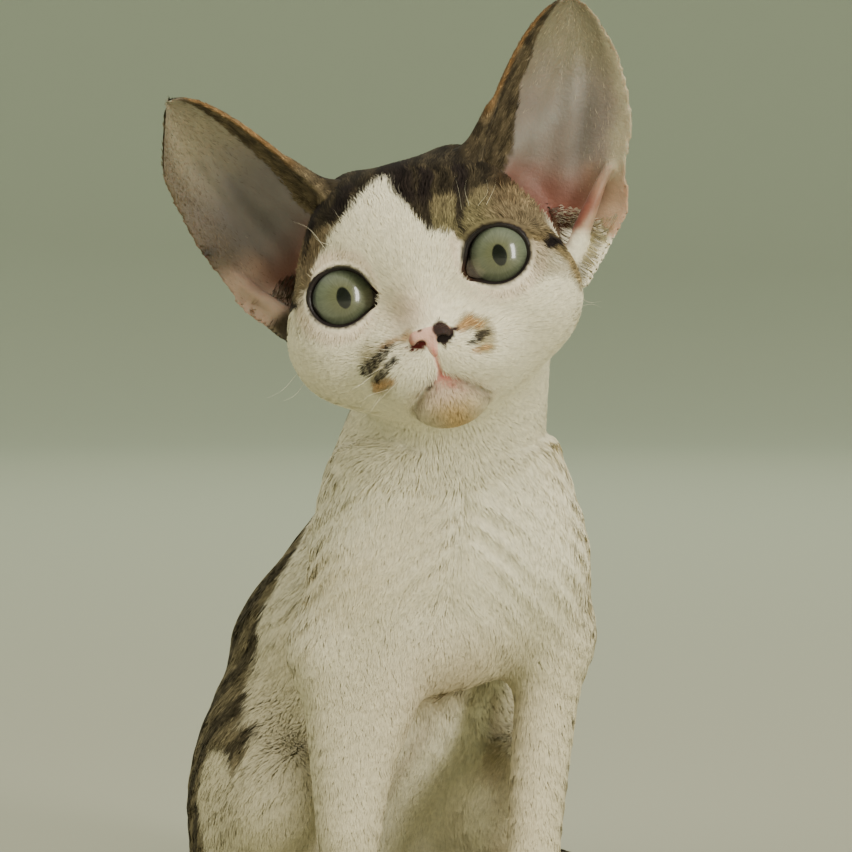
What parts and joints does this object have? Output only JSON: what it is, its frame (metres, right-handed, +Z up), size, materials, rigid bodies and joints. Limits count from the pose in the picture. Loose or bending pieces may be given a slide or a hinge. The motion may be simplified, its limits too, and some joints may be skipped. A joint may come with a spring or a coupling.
{
  "type": "devon rex kitten",
  "caption": "Life-size still model of a devon rex kitten sitting upright with its head tilted, brown tabby and white, with large low-set ears and a short wavy coat.",
  "frame": {"origin": "on the floor, under the middle of the whole model's box", "axes": "+Z up; the chest faces -Y; +X is the cat's left side"},
  "size_m": [0.119, 0.1516, 0.2083],
  "materials": {
    "fur_white": "short soft wavy fur, warm white",
    "fur_tabby": "short soft wavy fur, brown tabby",
    "bare_skin": "bare pink skin, slightly moist",
    "eye": "clear wet gloss over a grey-green iris"
  },
  "bodies": {
    "root": {"head": "fur_white", "nose": "bare_skin", "eye_left": "eye", "eye_right": "eye", "ear_left": "fur_tabby", "ear_right": "fur_tabby", "neck": "fur_white", "torso": "fur_tabby", "foreleg_left": "fur_white", "foreleg_right": "fur_white", "forepaw_left": "fur_white", "forepaw_right": "fur_white", "thigh_left": "fur_tabby", "thigh_right": "fur_tabby", "hindfoot_left": "fur_white", "hindfoot_right": "fur_white", "tail_base": "fur_tabby", "tail_middle": "fur_tabby", "tail_tip": "fur_tabby"}
  },
  "joints": []
}
